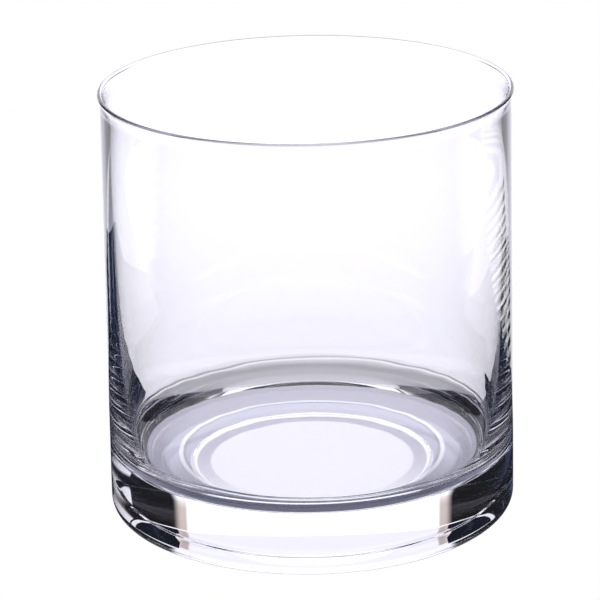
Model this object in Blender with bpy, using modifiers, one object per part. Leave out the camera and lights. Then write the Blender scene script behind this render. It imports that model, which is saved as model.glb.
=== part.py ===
"""A heavy-based whiskey tumbler of clear glass, in metres, +Z up, resting on z = 0.

The glass is formed from one gob, so rim, wall and base are one piece, turned about Z.
"""

import math

import bpy

# Outside: a wall that widens very slightly towards a rounded foot
HEIGHT = 0.0955
WALL_TOP_RADIUS = 0.0443
FOOT_RADIUS = 0.0450
FOOT_ROUNDING = 0.0032

# Rim: a fire-polished bead that stands a little proud of the wall
RIM_RADIUS = 0.04475
RIM_THICKNESS = 0.00095
BEAD_HEIGHT = 0.0012

# Inside: the wall thickens slowly downwards, then faster in the heel, into a rounded corner
WALL_THICKNESS = 0.0013
WALL_TAPER = 0.0175  # thickness gained per metre down from the rim
LIP = 0.0008  # how much thinner the wall is at the rim
LIP_FALL = 0.009  # height over which that thinning falls to 1/e
HEEL = 0.0021  # extra thickness the wall would have at the floor's height
HEEL_FALL = 0.0079  # height over which that extra falls to 1/e
BASE_THICKNESS = 0.0123
CORNER_RADIUS = 0.0072

# Underside: a flat ring to stand on, and a shallow round recess inside it
RECESS_RADIUS = 0.0273
RECESS_EDGE = 0.0010
RECESS_DEPTH = 0.0002

# Fineness
STEPS_AROUND = 72
STEPS_CORNER = 8
STEPS_UP_WALL = 12
STEPS_ROUNDING = 5
STEPS_RIM = 6
STEPS_EASE = 3
LEAN_STEP = 1e-6
ROUNDS_TO_JOIN = 60

GLASS_COLOUR = (0.93, 0.94, 0.98, 1.0)
GLASS_ROUGHNESS = 0.02
GLASS_IOR = 1.52
MERGE_DISTANCE = 1e-6


def arc(centre_r, centre_z, radius, start, end, steps):
    """Points (r, z) on an arc; angles in degrees, anticlockwise from +r."""
    angles = [math.radians(start + (end - start) * i / steps) for i in range(steps + 1)]
    return [(centre_r + radius * math.cos(a), centre_z + radius * math.sin(a)) for a in angles]


def eased(share):
    """0 to 1 with a level start and end."""
    return share * share * (3 - 2 * share)


def outer_radius(z):
    """Outside of the wall, between the foot's rounding and the bead."""
    share = (z - FOOT_ROUNDING) / (HEIGHT - BEAD_HEIGHT - FOOT_ROUNDING)
    return FOOT_RADIUS + (WALL_TOP_RADIUS - FOOT_RADIUS) * share


def inner_radius(z):
    """Inside of the wall."""
    heel = HEEL * math.exp((BASE_THICKNESS - z) / HEEL_FALL)
    lip = LIP * math.exp((z - HEIGHT) / LIP_FALL)
    return outer_radius(z) - WALL_THICKNESS - WALL_TAPER * (HEIGHT - z) - heel + lip


def inner_lean(z):
    """How far the inside of the wall leans out from the vertical, in radians."""
    return math.atan((inner_radius(z + LEAN_STEP) - inner_radius(z - LEAN_STEP)) / (2 * LEAN_STEP))


def corner_end():
    """Height at which the corner's arc runs smoothly into the inside of the wall."""
    z = BASE_THICKNESS + CORNER_RADIUS
    for _ in range(ROUNDS_TO_JOIN):
        z = (z + BASE_THICKNESS + CORNER_RADIUS * (1 - math.sin(inner_lean(z)))) / 2
    return z


def inside():
    """From the middle of the floor, round the corner and up the wall to the bead."""
    join = corner_end()
    lean = inner_lean(join)
    corner_r = inner_radius(join) - CORNER_RADIUS * math.cos(lean)
    corner_z = BASE_THICKNESS + CORNER_RADIUS
    points = [(0, BASE_THICKNESS)]
    points += arc(corner_r, corner_z, CORNER_RADIUS, -90, -math.degrees(lean), STEPS_CORNER)
    top = HEIGHT - BEAD_HEIGHT
    for i in range(1, STEPS_UP_WALL + 1):
        # closer together low down, where the heel bends most
        z = join + (top - join) * (i / STEPS_UP_WALL) ** 2
        points.append((inner_radius(z), z))
    return points


def bead():
    """Out to the rim, over it in a half circle, and back in to the outer wall."""
    half = RIM_THICKNESS / 2
    low, high = HEIGHT - BEAD_HEIGHT, HEIGHT - half
    inner_top = RIM_RADIUS - RIM_THICKNESS
    points = []
    for i in range(1, STEPS_EASE):
        share = i / STEPS_EASE
        r = inner_radius(low) + (inner_top - inner_radius(low)) * eased(share)
        points.append((r, low + (high - low) * share))
    points += arc(RIM_RADIUS - half, high, half, 180, 0, STEPS_RIM)
    for i in range(1, STEPS_EASE + 1):
        share = i / STEPS_EASE
        r = RIM_RADIUS + (WALL_TOP_RADIUS - RIM_RADIUS) * eased(share)
        points.append((r, high + (low - high) * share))
    return points


def foot():
    """The rounding at the foot, from the outer wall down to the resting ring."""
    return arc(FOOT_RADIUS - FOOT_ROUNDING, FOOT_ROUNDING, FOOT_ROUNDING, 0, -90, STEPS_ROUNDING)


def underside():
    """From the resting ring's inner edge up into the recess and in to the axis."""
    edge = RECESS_RADIUS + RECESS_EDGE / 2
    points = [(edge, 0)]
    for i in range(1, STEPS_ROUNDING + 1):
        along = i / STEPS_ROUNDING
        points.append((edge - RECESS_EDGE * along, RECESS_DEPTH * eased(along)))
    points.append((0, RECESS_DEPTH))
    return points


def clear_scene():
    for obj in list(bpy.data.objects):
        bpy.data.objects.remove(obj, do_unlink=True)


def collection_named(name):
    collection = bpy.data.collections.new(name)
    bpy.context.scene.collection.children.link(collection)
    return collection


def glass_material():
    material = bpy.data.materials.new("clear_glass")
    material.use_nodes = True
    shader = material.node_tree.nodes["Principled BSDF"]
    shader.inputs["Base Color"].default_value = GLASS_COLOUR
    shader.inputs["Roughness"].default_value = GLASS_ROUGHNESS
    shader.inputs["Metallic"].default_value = 0
    shader.inputs["IOR"].default_value = GLASS_IOR
    shader.inputs["Transmission Weight"].default_value = 1
    return material


def turned(name, profile, collection, material):
    """A closed solid turned about Z from points (r, z) that start and end on the axis."""
    mesh = bpy.data.meshes.new(name)
    edges = [(i, i + 1) for i in range(len(profile) - 1)]
    mesh.from_pydata([(r, 0, z) for r, z in profile], edges, [])
    mesh.materials.append(material)
    obj = bpy.data.objects.new(name, mesh)
    collection.objects.link(obj)
    screw = obj.modifiers.new("turn", "SCREW")
    screw.axis = "Z"
    screw.angle = math.tau
    screw.steps = STEPS_AROUND
    screw.render_steps = STEPS_AROUND
    screw.use_merge_vertices = True
    screw.merge_threshold = MERGE_DISTANCE
    screw.use_smooth_shade = True
    return obj


def main():
    clear_scene()
    collection = collection_named("whiskey_tumbler")
    profile = inside() + bead() + foot() + underside()
    turned("glass_body", profile, collection, glass_material())


main()
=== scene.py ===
import math

import bpy
from mathutils import Matrix, Vector


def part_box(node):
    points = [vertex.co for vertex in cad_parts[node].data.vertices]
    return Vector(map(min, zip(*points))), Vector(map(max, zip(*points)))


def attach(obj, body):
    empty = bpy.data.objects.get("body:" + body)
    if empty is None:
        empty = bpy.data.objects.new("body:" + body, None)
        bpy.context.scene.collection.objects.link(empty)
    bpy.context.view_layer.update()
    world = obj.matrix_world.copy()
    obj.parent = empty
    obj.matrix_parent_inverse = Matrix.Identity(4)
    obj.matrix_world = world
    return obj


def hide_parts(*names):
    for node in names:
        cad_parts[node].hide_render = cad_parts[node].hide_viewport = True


# The glass: the same turned shape as the CAD node, in metres
HEIGHT = 0.0955
RIM_RADIUS = 0.04475
RIM_THICKNESS = 0.00095
BEAD_HEIGHT = 0.0012
WALL_TOP_RADIUS = 0.0443
FOOT_RADIUS = 0.0450
FOOT_ROUNDING = 0.0032
WALL_THICKNESS = 0.0013
WALL_TAPER = 0.0175
LIP = 0.0008
LIP_FALL = 0.009
HEEL = 0.0021
HEEL_FALL = 0.0079
BASE_THICKNESS = 0.0123
CORNER_RADIUS = 0.0072
RECESS_RADIUS = 0.0273
RECESS_EDGE = 0.0010
RECESS_DEPTH = 0.0002
CREASE_HEIGHT = 0.0175
CREASE_WIDTH = 0.00024
CREASE_DEPTH = 0.00009
RIPPLE_DEPTH = 0.0000012
RIPPLE_PITCH = 0.0032
RIPPLE_BOTTOM = 0.021
RIPPLE_TOP = 0.072
RIPPLE_FADE_IN = 0.006
RIPPLE_FADE_OUT = 0.03
RIPPLE_SLANT = 0.0012
RIPPLE_SLANT_START = 0.4
# How the crease wanders up and down on its way round: amount, waves per turn, start
CREASE_WANDER = ((0.00030, 2, 0.6), (0.00016, 5, 0), (0.00007, 11, 0))

# Steps along each stretch of the outline; the wall's crowd together towards the corner
SEGMENTS = 320
FLOOR_STEPS = 8
CORNER_STEPS = 80
WALL_STEPS = 180
WALL_CROWDING = 1.2
BEAD_STEPS = 12
RIM_STEPS = 14
OUTSIDE_STEPS = 40
FOOT_STEPS = 16
RECESS_EDGE_STEPS = 12
RECESS_STEPS = 6
SETTLING_ROUNDS = 60

GLASS_IOR = 1.52
GLASS_TINT = (0.80, 0.80, 0.97)
GLASS_TINT_DENSITY = 1.5

# Camera: where it stands round the glass in metres and degrees, and its lens and sensor in millimetres
CAMERA_DISTANCE = 0.680
AIM_HEIGHT = 0.048
CAMERA_ELEVATION = 19.093
CAMERA_ROLL = -1.11
CAMERA_LENS = 185.56
AIM_SIDEWAYS = -0.00201
AIM_UP = -0.00112
SENSOR_WIDTH = 36
CLIP_START = 0.01
CLIP_END = 20
LIGHT_BOUNCES = 48
GLOSSY_BOUNCES = 24
TRANSPARENT_BOUNCES = 16

# Stage: floor, backdrop and dark cards, and how far the flat pieces lie below the foot of the glass
DARK_COLOUR = (0.010, 0.012, 0.020)
FLOOR_REACH = 3
BACKDROP_RADIUS = 4
BALL_SEGMENTS = 96
BALL_RINGS = 48
FLOOR_DROP = 0.0001
CARD_DROP = 0.0002
TABLE_DROP = 0.0003

# Light tent round the glass. Angles are in degrees: away from the back, and up from the level.
TENT_RADIUS = 1.2
BACK_HALF = 31
BACK_SOFT = 1.5
FLANK_END = 42
FLANK_SOFT = 2
SIDE_END = 85
SIDE_SOFT = 6
TENT_TINT = (0.965, 0.952, 1.060)

# Warm strip at both ends of the tent's back
WARM_START = 27.3
WARM_SOFT = 1
WARM_LIGHT = 0.50
WARM_LOW = 22.5
WARM_HIGH = 25.5
WARM_SHIFT = 2.3
WARM_LEVEL_SOFT = 0.5
WARM_TINT = (1.05, 0.90, 0.86)

# One bright patch in the tent's side
PATCH_START = 54
PATCH_END = 84
PATCH_LOW = 19.0
PATCH_HIGH = 21.6
PATCH_SOFT = 1
PATCH_LIGHT = 1.15

# Brightness of each part of the tent against the angle above the level
BACK_HEIGHTS = (
    (-90, 0.60), (-50, 0.56), (-40, 0.50), (-38, 0.56), (-35, 0.78), (-32, 0.91), (-30, 0.96), (-27.4, 1.0),
    (-26.8, 1.11), (-25.8, 1.12), (-25.2, 1.06), (-22.5, 1.09), (-21, 1.15), (-19, 1.25), (-17, 1.34),
    (90, 1.34))
FLANK_HEIGHTS = (
    (-90, 0.50), (-45, 0.50), (-30, 1.00), (-4, 1.10), (-1, 0.012), (40, 0.012), (48, 1.3), (90, 1.3))
SIDE_HEIGHTS = (
    (-90, 0.40), (-45, 0.40), (-30, 1.00), (-4, 1.10), (-1, 0.012), (40, 0.012), (48, 1.3), (90, 1.3))
FRONT_HEIGHTS = ((-90, 0.02), (40, 0.02), (55, 1.3), (90, 1.3))

# Black cards on edge beside the glass: tall beside its near half, low and sloping beyond
CARD_X = 0.075
CARD_NEAR = -0.10
CARD_FAR = 0.175
CARD_TALL_FAR = 0.020
CARD_LOW_TOP = -0.002
CARD_BEND = 0.083
CARD_BEND_TOP = -0.024
CARD_FAR_TOP = -0.056
CARD_BOTTOM = -0.070
CARD_LEFT_TOP = 0.050
CARD_RIGHT_TOP = 0.030

# Table under the glass, glowing with painted light and shade: brightness against the distance from the
# axis, dimmer painted shade under the resting ring, and one painted light ring off the axis
TABLE_RADIUS = 0.0449
TABLE_SEGMENTS = 64
TABLE_LIGHT = 1.02
TABLE_COLOUR = (0.94, 0.925, 1.04)
# Cooler colour of the painted shade where the table is dim
TABLE_PAINTED_SHADE_COLOUR = (0.93, 0.905, 1.17)
TABLE_DIM = 0.7
TABLE_BRIGHT = 1.0
TABLE_PAINTED_LIGHT_REACHES = (
    (0, 1.02), (0.0229, 1.02), (0.0236, 0.53), (0.0262, 0.53), (0.0267, 1.3), (0.0277, 1.3),
    (0.0281, 0.60), (0.0305, 0.60), (0.0312, 0.68), (0.0345, 0.68), (0.0352, 0.49), (0.0449, 0.49))
TABLE_PAINTED_LINE_SHIFT = 0.0055
TABLE_PAINTED_LINE = (
    (0, 0), (0.0292, 0), (0.0294, -0.15), (0.0299, -0.15), (0.0301, 0.5), (0.0309, 0.5), (0.0312, 0))
# Near the front only the resting ring is dark, in painted slate shade
TABLE_NEAR_END = -0.030
TABLE_FAR_START = 0.010
TABLE_PAINTED_RING_SHADE_NEAR = (0.11, 0.11, 0.17)
TABLE_RING_START = RECESS_RADIUS - 0.0006
TABLE_RING_FULL = RECESS_RADIUS + 0.0004

# Lying cards: their back edge from the outside inwards, and how much nearer the right one is
LYING_BACK = (
    (0.200, 0.150), (0.150, 0.170), (0.135, 0.185), (0.106, 0.160),
    (0.092, 0.125), (0.078, 0.100), (0.063, 0.081), (0.046, 0.052))
LYING_NEAR = -0.100
LYING_RIGHT_NEARER = 0.016

# Lighter streaks on both lying cards
STREAK_TURN = 0.7
STREAK_SCALE = (160, 18, 18)
STREAK_COLOUR = (0.013, 0.017, 0.036)
STREAK_LIGHT = 4.0
STREAK_LOW = 0.52
STREAK_HIGH = 0.68
STREAK_DETAIL = 2

# Painted light between slats on the right one: bright rings about the axis, closer together the further out
# they are
SLAT_RATE = -15.7
SLAT_GROWTH = 413
SLAT_EDGE = 0.2
SLAT_START = 0.105
SLAT_START_SOFT = 0.002
SLAT_BACK = 0.074
SLAT_BACK_SOFT = 0.003
SLAT_LIGHT = 0.85


def arc(centre_r, centre_z, radius, start, end, steps):
    """Points along a circle in the outline's plane, from one angle to another in degrees."""
    angles = [math.radians(start + (end - start) * i / steps) for i in range(steps + 1)]
    return [(centre_r + radius * math.cos(a), centre_z + radius * math.sin(a)) for a in angles]


def outer_radius(z):
    """Outside of the wall, between the foot's rounding and the bead."""
    share = (z - FOOT_ROUNDING) / (HEIGHT - BEAD_HEIGHT - FOOT_ROUNDING)
    return FOOT_RADIUS + (WALL_TOP_RADIUS - FOOT_RADIUS) * share


def inner_radius(z):
    """Inside of the wall: it thickens slowly downwards, then faster in the heel near the base."""
    heel = HEEL * math.exp((BASE_THICKNESS - z) / HEEL_FALL)
    lip = LIP * math.exp((z - HEIGHT) / LIP_FALL)
    return outer_radius(z) - WALL_THICKNESS - WALL_TAPER * (HEIGHT - z) - heel + lip


def inner_lean(z):
    """How far the inside leans out from the vertical, in radians."""
    step = 1e-6
    return math.atan((inner_radius(z + step) - inner_radius(z - step)) / (2 * step))


def eased(share):
    """From 0 to 1 with a level start and end."""
    return share * share * (3 - 2 * share)


def corner_end():
    """Height at which the corner's arc runs into the inside of the wall."""
    z = BASE_THICKNESS + CORNER_RADIUS
    for _ in range(SETTLING_ROUNDS):
        z = (z + BASE_THICKNESS + CORNER_RADIUS * (1 - math.sin(inner_lean(z)))) / 2
    return z


def inside():
    """From the middle of the floor to the top of the inner wall."""
    join = corner_end()
    lean = inner_lean(join)
    corner_r = inner_radius(join) - CORNER_RADIUS * math.cos(lean)
    points = [(corner_r * i / FLOOR_STEPS, BASE_THICKNESS) for i in range(FLOOR_STEPS)]
    corner_z = BASE_THICKNESS + CORNER_RADIUS
    points += arc(corner_r, corner_z, CORNER_RADIUS, -90, -math.degrees(lean), CORNER_STEPS)
    top = HEIGHT - BEAD_HEIGHT
    for i in range(1, WALL_STEPS + 1):
        z = join + (top - join) * (i / WALL_STEPS) ** WALL_CROWDING
        points.append((inner_radius(z), z))
    return points


def bead():
    """The fire-polished rim, a little proud of the wall outside."""
    half = RIM_THICKNESS / 2
    low, high = HEIGHT - BEAD_HEIGHT, HEIGHT - half
    points = []
    for i in range(1, BEAD_STEPS + 1):
        share = eased(i / BEAD_STEPS)
        r = inner_radius(low) * (1 - share) + (RIM_RADIUS - RIM_THICKNESS) * share
        points.append((r, low + (high - low) * i / BEAD_STEPS))
    points += arc(RIM_RADIUS - half, high, half, 180, 0, RIM_STEPS)[1:]
    for i in range(1, BEAD_STEPS + 1):
        share = eased(i / BEAD_STEPS)
        r = RIM_RADIUS * (1 - share) + WALL_TOP_RADIUS * share
        points.append((r, high + (low - high) * i / BEAD_STEPS))
    return points


def outside():
    """Down the outer wall and round the foot to the resting ring."""
    points = []
    top = HEIGHT - BEAD_HEIGHT
    for i in range(1, OUTSIDE_STEPS):
        z = top + (FOOT_ROUNDING - top) * i / OUTSIDE_STEPS
        points.append((outer_radius(z), z))
    points += arc(FOOT_RADIUS - FOOT_ROUNDING, FOOT_ROUNDING, FOOT_ROUNDING, 0, -90, FOOT_STEPS)
    return points


def underside():
    """The resting ring, and the shallow recess inside it."""
    edge = RECESS_RADIUS + RECESS_EDGE / 2
    points = [((edge + FOOT_RADIUS - FOOT_ROUNDING) / 2, 0), (edge, 0)]
    for i in range(1, RECESS_EDGE_STEPS + 1):
        height = RECESS_DEPTH * eased(i / RECESS_EDGE_STEPS)
        points.append((edge - RECESS_EDGE * i / RECESS_EDGE_STEPS, height))
    for i in range(1, RECESS_STEPS):
        points.append(((edge - RECESS_EDGE) * (1 - i / RECESS_STEPS), RECESS_DEPTH))
    points.append((0, RECESS_DEPTH))
    return points


def profile():
    """The whole outline, from the middle of the floor over the rim to the middle of the underside."""
    return inside() + bead() + outside() + underside()


def unevenness(r, z, angle):
    """How far the inside of the wall stands proud: the crease near the base, and faint ripples."""
    if z < BASE_THICKNESS + CREASE_WIDTH or z > RIPPLE_TOP + RIPPLE_PITCH:
        return 0
    if r > outer_radius(z) - WALL_THICKNESS + LIP:
        return 0
    wander = sum(amount * math.sin(waves * angle + start) for amount, waves, start in CREASE_WANDER)
    crease = CREASE_DEPTH * math.exp(-((z - CREASE_HEIGHT - wander) / CREASE_WIDTH) ** 2)
    fade_in = eased(min(1, max(0, (z - RIPPLE_BOTTOM) / RIPPLE_FADE_IN)))
    fade_out = eased(min(1, max(0, (RIPPLE_TOP - z) / RIPPLE_FADE_OUT)))
    slant = RIPPLE_SLANT * math.sin(angle + RIPPLE_SLANT_START)
    ripple = RIPPLE_DEPTH * fade_in * fade_out * math.sin(math.tau * (z + slant) / RIPPLE_PITCH)
    return crease + ripple


def turned(name, points):
    """A smooth mesh of the outline turned about the axis; an outline point on the axis is one vertex."""
    verts = []
    faces = []
    rings = []
    for r, z in points:
        if r == 0:
            rings.append([len(verts)])
            verts.append((0, 0, z))
            continue
        rings.append(list(range(len(verts), len(verts) + SEGMENTS)))
        for s in range(SEGMENTS):
            a = math.tau * s / SEGMENTS
            reach = r - unevenness(r, z, a)
            verts.append((reach * math.cos(a), reach * math.sin(a), z))
    for low, high in zip(rings, rings[1:]):
        for s in range(SEGMENTS):
            t = (s + 1) % SEGMENTS
            if len(low) == 1:
                faces.append((low[0], high[s], high[t]))
            elif len(high) == 1:
                faces.append((low[s], high[0], low[t]))
            else:
                faces.append((low[s], high[s], high[t], low[t]))
    mesh = bpy.data.meshes.new(name)
    mesh.from_pydata(verts, [], faces)
    mesh.update()
    mesh.shade_smooth()
    obj = bpy.data.objects.new(name, mesh)
    bpy.context.scene.collection.objects.link(obj)
    return obj


def glass_material():
    """Clear glass with a very faint cool tint in its thickness."""
    material = bpy.data.materials.new("clear_glass")
    material.use_nodes = True
    tree = material.node_tree
    shader = tree.nodes["Principled BSDF"]
    shader.inputs["Base Color"].default_value = (1, 1, 1, 1)
    shader.inputs["Roughness"].default_value = 0.0
    shader.inputs["IOR"].default_value = GLASS_IOR
    shader.inputs["Transmission Weight"].default_value = 1
    absorb = tree.nodes.new("ShaderNodeVolumeAbsorption")
    absorb.inputs["Color"].default_value = (*GLASS_TINT, 1)
    absorb.inputs["Density"].default_value = GLASS_TINT_DENSITY
    out = tree.nodes["Material Output"]
    tree.links.new(absorb.outputs["Volume"], out.inputs["Volume"])
    return material


def emitting(name):
    """A material that only gives light; returns it, its tree and its shader."""
    material = bpy.data.materials.new(name)
    material.use_nodes = True
    tree = material.node_tree
    tree.nodes.clear()
    out = tree.nodes.new("ShaderNodeOutputMaterial")
    shader = tree.nodes.new("ShaderNodeEmission")
    tree.links.new(shader.outputs["Emission"], out.inputs["Surface"])
    return material, tree, shader


def emitter(name, colour):
    material, tree, shader = emitting(name)
    shader.inputs["Color"].default_value = (*colour, 1)
    shader.inputs["Strength"].default_value = 1
    return material


def maths(tree, operation, first, second=None):
    """The output of a maths node on numbers or other nodes' outputs."""
    node = tree.nodes.new("ShaderNodeMath")
    node.operation = operation
    for socket, value in zip(node.inputs, (first, second)):
        if isinstance(value, (int, float)):
            socket.default_value = value
        elif value is not None:
            tree.links.new(value, socket)
    return node.outputs[0]


def ranged(tree, value, start, end, smooth=True):
    """0 below start, 1 above end."""
    node = tree.nodes.new("ShaderNodeMapRange")
    node.interpolation_type = "SMOOTHSTEP" if smooth else "LINEAR"
    tree.links.new(value, node.inputs["Value"])
    node.inputs["From Min"].default_value = start
    node.inputs["From Max"].default_value = end
    return node.outputs["Result"]


def graded(tree, value, steps):
    """Brightness that changes in straight lines through the given (place, brightness) pairs."""
    total = steps[0][1]
    for (start, low), (end, high) in zip(steps, steps[1:]):
        if low != high:
            rise = maths(tree, "MULTIPLY", ranged(tree, value, start, end, False), high - low)
            total = maths(tree, "ADD", rise, total)
    return total


def between(tree, value, start, end, soft):
    """1 from start to end, 0 outside."""
    before_end = maths(tree, "SUBTRACT", 1.0, ranged(tree, value, end, end + soft))
    return maths(tree, "MULTIPLY", ranged(tree, value, start, start + soft), before_end)


def mixed(tree, share, low, high):
    """low where share is 0, high where it is 1."""
    kept = maths(tree, "MULTIPLY", maths(tree, "SUBTRACT", 1.0, share), low)
    return maths(tree, "ADD", kept, maths(tree, "MULTIPLY", share, high))


def flat_length(tree, x, y):
    """Distance from the axis of the glass."""
    squares = maths(tree, "ADD", maths(tree, "MULTIPLY", x, x), maths(tree, "MULTIPLY", y, y))
    return maths(tree, "SQRT", squares)


def object_place(tree):
    """The coordinates of a place on the object, as one vector and as x, y and z."""
    place = tree.nodes.new("ShaderNodeTexCoord").outputs["Object"]
    parts = tree.nodes.new("ShaderNodeSeparateXYZ")
    tree.links.new(place, parts.inputs[0])
    return place, *(parts.outputs[name] for name in "XYZ")


def joined(tree, channels):
    """One colour from three channels."""
    node = tree.nodes.new("ShaderNodeCombineXYZ")
    for socket, channel in zip(node.inputs, channels):
        tree.links.new(channel, socket)
    return node.outputs[0]


def tent_material():
    """Light graded by height, dark beside the camera and bright behind the glass."""
    material, tree, shader = emitting("light_tent")
    _, x, y, z = object_place(tree)
    height = maths(tree, "DEGREES", maths(tree, "ARCSINE", maths(tree, "DIVIDE", z, TENT_RADIUS)))
    turn = maths(tree, "DEGREES", maths(tree, "ARCTAN2", x, y))
    off_back = maths(tree, "ABSOLUTE", turn)
    back = graded(tree, height, BACK_HEIGHTS)
    side = graded(tree, height, SIDE_HEIGHTS)
    front = graded(tree, height, FRONT_HEIGHTS)
    flank = graded(tree, height, FLANK_HEIGHTS)
    tilt = maths(tree, "ABSOLUTE", maths(tree, "ADD", height, WARM_SHIFT))
    level = between(tree, tilt, WARM_LOW, WARM_HIGH, WARM_LEVEL_SOFT)
    warm = maths(tree, "MULTIPLY", ranged(tree, off_back, WARM_START, WARM_START + WARM_SOFT), level)
    back = mixed(tree, warm, back, maths(tree, "MULTIPLY", back, WARM_LIGHT))
    light = back
    parts = ((BACK_HALF, BACK_SOFT, flank), (FLANK_END, FLANK_SOFT, side), (SIDE_END, SIDE_SOFT, front))
    for end, soft, beyond in parts:
        light = mixed(tree, ranged(tree, off_back, end - soft, end + soft), light, beyond)
    across = between(tree, turn, PATCH_START, PATCH_END, PATCH_SOFT)
    upward = between(tree, height, PATCH_LOW, PATCH_HIGH, PATCH_SOFT)
    patch = maths(tree, "MULTIPLY", across, upward)
    light = mixed(tree, patch, light, PATCH_LIGHT)
    rosiness = maths(tree, "MULTIPLY", warm, maths(tree, "SUBTRACT", 1.0, patch))
    tint = joined(tree, [mixed(tree, rosiness, cool, rosy) for cool, rosy in zip(TENT_TINT, WARM_TINT)])
    tree.links.new(tint, shader.inputs["Color"])
    tree.links.new(light, shader.inputs["Strength"])
    return material


def painted_table_light_material():
    """Painted light and shade glowing up from the table under the glass: bright in the recess, dim painted
    shade under the resting ring.
    """
    material, tree, shader = emitting("table_painted_light_and_shade")
    _, x, y, _ = object_place(tree)
    reach = flat_length(tree, x, y)
    # Painted shade under the resting ring, slate near the front
    under_ring_painted_shade = ranged(tree, reach, TABLE_RING_START, TABLE_RING_FULL)
    back = ranged(tree, y, TABLE_NEAR_END, TABLE_FAR_START)
    shifted = maths(tree, "SUBTRACT", y, TABLE_PAINTED_LINE_SHIFT)
    offset = flat_length(tree, x, shifted)
    # Painted light and shade in rings round the axis, plus a painted light ring off the axis
    light = maths(tree, "ADD", graded(tree, reach, TABLE_PAINTED_LIGHT_REACHES), graded(tree, offset, TABLE_PAINTED_LINE))
    channels = []
    # Dimmer parts take the cooler colour of the painted shade
    dim = maths(tree, "SUBTRACT", 1.0, ranged(tree, light, TABLE_DIM, TABLE_BRIGHT))
    for tint, cool, near in zip(TABLE_COLOUR, TABLE_PAINTED_SHADE_COLOUR, TABLE_PAINTED_RING_SHADE_NEAR):
        far = maths(tree, "MULTIPLY", light, mixed(tree, dim, tint, cool))
        plain = mixed(tree, under_ring_painted_shade, TABLE_LIGHT * tint, near)
        channels.append(mixed(tree, back, plain, far))
    tree.links.new(joined(tree, channels), shader.inputs["Color"])
    shader.inputs["Strength"].default_value = 1
    return material


def streaked_material(name, slatted):
    """A dark blue card with soft lighter streaks across it; its far part may carry bright rings of painted
    light, as between slats.
    """
    material, tree, shader = emitting(name)
    place, x, y, _ = object_place(tree)
    stretch = tree.nodes.new("ShaderNodeMapping")
    stretch.inputs["Rotation"].default_value = (0, 0, STREAK_TURN)
    stretch.inputs["Scale"].default_value = STREAK_SCALE
    tree.links.new(place, stretch.inputs["Vector"])
    noise = tree.nodes.new("ShaderNodeTexNoise")
    noise.inputs["Scale"].default_value = 1
    noise.inputs["Detail"].default_value = STREAK_DETAIL
    tree.links.new(stretch.outputs["Vector"], noise.inputs["Vector"])
    streaks = ranged(tree, noise.outputs["Fac"], STREAK_LOW, STREAK_HIGH)
    light = maths(tree, "ADD", maths(tree, "MULTIPLY", streaks, STREAK_LIGHT), 1.0)
    if not slatted:
        shader.inputs["Color"].default_value = (*STREAK_COLOUR, 1)
        tree.links.new(light, shader.inputs["Strength"])
        return material
    reach = flat_length(tree, x, y)
    pace = maths(tree, "ADD", maths(tree, "MULTIPLY", reach, SLAT_GROWTH), SLAT_RATE)
    turns = maths(tree, "MULTIPLY", reach, pace)
    wave = maths(tree, "SINE", maths(tree, "MULTIPLY", turns, math.tau))
    beyond = maths(tree, "MULTIPLY", ranged(tree, reach, SLAT_START, SLAT_START + SLAT_START_SOFT),
                   ranged(tree, y, SLAT_BACK, SLAT_BACK + SLAT_BACK_SOFT))
    # Bright rings of painted light on the flat card, where light would show between slats
    painted_slat_light = maths(tree, "MULTIPLY", ranged(tree, wave, -SLAT_EDGE, SLAT_EDGE), beyond)
    channels = []
    for colour in STREAK_COLOUR:
        channels.append(mixed(tree, painted_slat_light, maths(tree, "MULTIPLY", light, colour), SLAT_LIGHT))
    tree.links.new(joined(tree, channels), shader.inputs["Color"])
    return material


def panel(name, corners, material, parent=None, seen=False):
    """A flat stage piece with the given corners."""
    mesh = bpy.data.meshes.new(name)
    mesh.from_pydata(corners, [], [tuple(range(len(corners)))])
    mesh.materials.append(material)
    obj = bpy.data.objects.new(name, mesh)
    bpy.context.scene.collection.objects.link(obj)
    obj.parent = parent
    obj.visible_camera = seen
    return obj


def make_camera(centre):
    """The camera in front of the glass and above it, looking down at its middle."""
    elevation = math.radians(CAMERA_ELEVATION)
    back = Vector((0, -math.cos(elevation), math.sin(elevation)))
    location = centre + back * CAMERA_DISTANCE
    aim = centre + Vector((AIM_SIDEWAYS, 0, AIM_UP))
    turn = (aim - location).to_track_quat("-Z", "Y").to_matrix().to_4x4()
    data = bpy.data.cameras.new("camera")
    data.sensor_width = SENSOR_WIDTH
    data.lens = CAMERA_LENS
    data.clip_start, data.clip_end = CLIP_START, CLIP_END
    camera = bpy.data.objects.new("camera", data)
    bpy.context.scene.collection.objects.link(camera)
    roll = Matrix.Rotation(math.radians(CAMERA_ROLL), 4, "Z")
    camera.matrix_world = Matrix.Translation(location) @ turn @ roll
    bpy.context.scene.camera = camera
    return camera


def turntable(camera):
    """An empty under the glass that turns about Z to face the camera, for the lights and flags."""
    rig = bpy.data.objects.new("studio_turntable", None)
    bpy.context.scene.collection.objects.link(rig)
    track = rig.constraints.new("LOCKED_TRACK")
    track.target = camera
    track.track_axis = "TRACK_NEGATIVE_Y"
    track.lock_axis = "LOCK_Z"
    return rig


def seen_only_by_camera(obj):
    obj.visible_diffuse = obj.visible_glossy = obj.visible_transmission = False
    obj.visible_volume_scatter = obj.visible_shadow = False


def ball(name, radius, material, parent=None, seen=False):
    """A round stage piece about the middle of the glass."""
    bpy.ops.mesh.primitive_uv_sphere_add(
        segments=BALL_SEGMENTS, ring_count=BALL_RINGS, radius=radius, location=centre)
    obj = bpy.context.object
    obj.name = name
    obj.data.materials.append(material)
    obj.parent = parent
    obj.visible_camera = seen
    return obj


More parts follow.
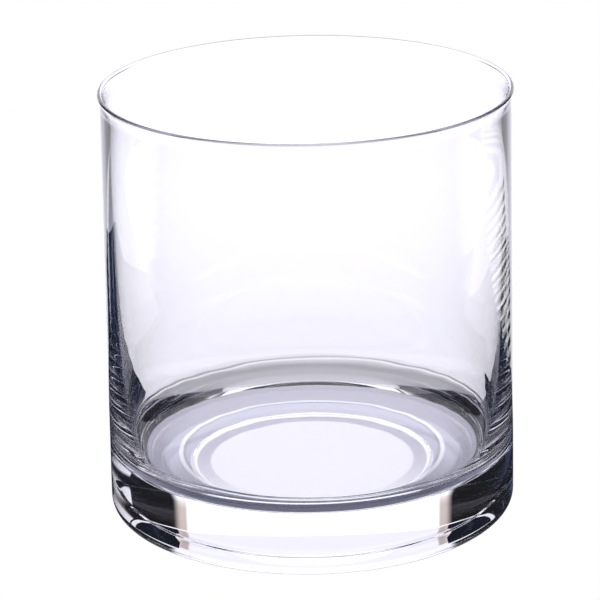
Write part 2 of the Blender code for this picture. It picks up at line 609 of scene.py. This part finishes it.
def upright(name, x, top, material):
    """A card on edge beside the glass, tall beside its near half and low beyond."""
    outline = [
        (CARD_NEAR, CARD_BOTTOM), (CARD_FAR, CARD_BOTTOM), (CARD_FAR, CARD_FAR_TOP),
        (CARD_BEND, CARD_BEND_TOP), (CARD_TALL_FAR, CARD_LOW_TOP), (CARD_TALL_FAR, top), (CARD_NEAR, top)]
    return panel(name, [(x, y, z) for y, z in outline], material, rig)


def lying(name, side, nearer, material):
    """A card flat beside the glass, on its right for side 1 and its left for side -1."""
    shape = [(LYING_BACK[-1][0], LYING_NEAR), (LYING_BACK[0][0], LYING_NEAR)]
    shape += [(x, y - nearer) for x, y in LYING_BACK]
    return panel(name, [(side * x, y, low.z - CARD_DROP) for x, y in shape], material, rig)


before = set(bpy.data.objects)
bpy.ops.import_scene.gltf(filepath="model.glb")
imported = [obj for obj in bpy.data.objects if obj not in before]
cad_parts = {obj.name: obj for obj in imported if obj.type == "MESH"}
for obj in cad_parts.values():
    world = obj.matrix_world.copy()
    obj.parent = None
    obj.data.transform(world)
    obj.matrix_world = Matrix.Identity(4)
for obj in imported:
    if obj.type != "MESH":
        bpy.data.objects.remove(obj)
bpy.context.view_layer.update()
low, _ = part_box("glass_body")
centre = Vector((0, 0, low.z + AIM_HEIGHT))

camera = make_camera(centre)
rig = turntable(camera)

scene = bpy.context.scene
scene.view_settings.view_transform = "Standard"
scene.view_settings.look = "None"
scene.cycles.max_bounces = LIGHT_BOUNCES
scene.cycles.transmission_bounces = LIGHT_BOUNCES
scene.cycles.glossy_bounces = GLOSSY_BOUNCES
scene.cycles.transparent_max_bounces = TRANSPARENT_BOUNCES
scene.cycles.use_denoising = True

world = bpy.data.worlds.new("studio_dark")
scene.world = world
world.use_nodes = True
background = world.node_tree.nodes["Background"]
background.inputs["Color"].default_value = (*DARK_COLOUR, 1)
background.inputs["Strength"].default_value = 1

# The white floor and backdrop show only to the camera; the other stage pieces show only in the glass
white = emitter("pale_floor", (1, 1, 1))
corners = [(x * FLOOR_REACH, y * FLOOR_REACH, 0) for x, y in ((-1, -1), (1, -1), (1, 1), (-1, 1))]
floor = panel("floor", corners, white, seen=True)
floor.location.z = low.z - FLOOR_DROP
seen_only_by_camera(floor)
seen_only_by_camera(ball("backdrop", BACKDROP_RADIUS, white, seen=True))

black = emitter("black_card", DARK_COLOUR)
streaked = streaked_material("navy_card", False)
slatted = streaked_material("slatted_card", True)
ball("light_tent", TENT_RADIUS, tent_material(), rig)
upright("card_left", -CARD_X, CARD_LEFT_TOP, black)
upright("card_right", CARD_X, CARD_RIGHT_TOP, black)
lying("card_lying_left", -1, 0, streaked)
lying("card_lying_right", 1, LYING_RIGHT_NEARER, slatted)
angles = [math.tau * i / TABLE_SEGMENTS for i in range(TABLE_SEGMENTS)]
ring = [(TABLE_RADIUS * math.cos(a), TABLE_RADIUS * math.sin(a), 0) for a in angles]
# Disc under the glass glowing with painted light and shade
table = panel("table_painted_light_under_glass", ring, painted_table_light_material(), rig)
table.location.z = low.z - TABLE_DROP

glass = turned("glass", profile())
glass.data.materials.append(glass_material())
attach(glass, "root")
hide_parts("glass_body")
